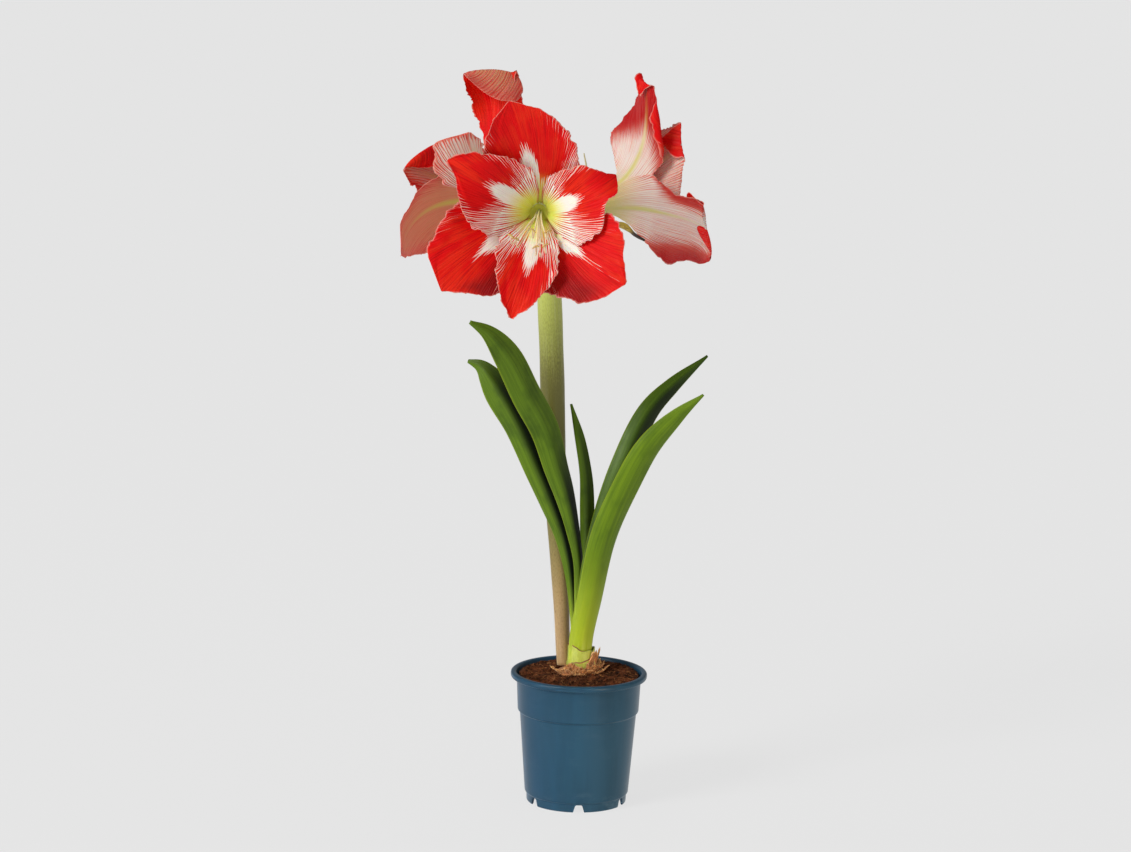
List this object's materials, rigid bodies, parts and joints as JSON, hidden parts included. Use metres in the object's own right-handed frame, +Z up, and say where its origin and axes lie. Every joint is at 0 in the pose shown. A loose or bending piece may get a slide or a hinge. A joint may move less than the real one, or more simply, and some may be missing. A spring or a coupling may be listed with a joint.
{
  "type": "amaryllis in a pot",
  "caption": "Amaryllis bulb in a round plastic pot, with strap leaves and one stalk of large red and white striped flowers.",
  "frame": {"origin": "centre of the pot's underside, in the plane that its foot stands on", "axes": "+Z up along the pot's axis; the open flower that faces the viewer looks along -Y; +X to the viewer's right"},
  "size_m": [0.2707, 0.288, 0.6433],
  "materials": {
    "pot": "blue-grey moulded plastic, satin",
    "soil": "damp fibrous potting soil",
    "bulb_skin": "dry papery brown scales",
    "leaf_sheath": "pale yellow-green, torn edge",
    "leaf": "smooth, slightly glossy green, paler towards the foot",
    "scape": "pale green above, pinkish brown at the foot, faint bloom",
    "spathe": "dry olive brown",
    "flower_green": "smooth yellow green",
    "petal": "red with a white midrib stripe and fine white veins; outside pinkish white with red veins",
    "filament": "creamy white with pale yellow anthers"
  },
  "bodies": {
    "root": {"pot": "pot", "soil": "soil", "bulb": "bulb_skin", "tunic_scale_1": "bulb_skin", "tunic_scale_2": "bulb_skin", "tunic_scale_3": "bulb_skin", "tunic_scale_4": "bulb_skin", "neck_sheath_outer": "leaf_sheath", "neck_sheath_inner": "leaf_sheath", "leaf_front_right": "leaf", "leaf_rear_right": "leaf", "leaf_front_left": "leaf", "leaf_rear_left": "leaf", "leaf_centre": "leaf", "scape": "scape", "spathe_valve_right": "spathe", "spathe_valve_left": "spathe", "bracteole": "flower_green", "tepal_front_inner_1": "petal", "tepal_front_outer_2": "petal", "tepal_front_inner_3": "petal", "tepal_front_outer_4": "petal", "tepal_front_inner_5": "petal", "tepal_front_outer_6": "petal", "flower_tube_front": "flower_green", "stamens_front": "filament", "pistil_front": "filament", "pedicel_front": "flower_green", "tepal_right_inner_1": "petal", "tepal_right_outer_2": "petal", "tepal_right_inner_3": "petal", "tepal_right_outer_4": "petal", "tepal_right_inner_5": "petal", "tepal_right_outer_6": "petal", "flower_tube_right": "flower_green", "stamens_right": "filament", "pistil_right": "filament", "pedicel_right": "flower_green", "tepal_left_inner_1": "petal", "tepal_left_outer_2": "petal", "tepal_left_inner_3": "petal", "tepal_left_outer_4": "petal", "tepal_left_inner_5": "petal", "tepal_left_outer_6": "petal", "flower_tube_left": "flower_green", "stamens_left": "filament", "pistil_left": "filament", "pedicel_left": "flower_green"}
  },
  "joints": []
}
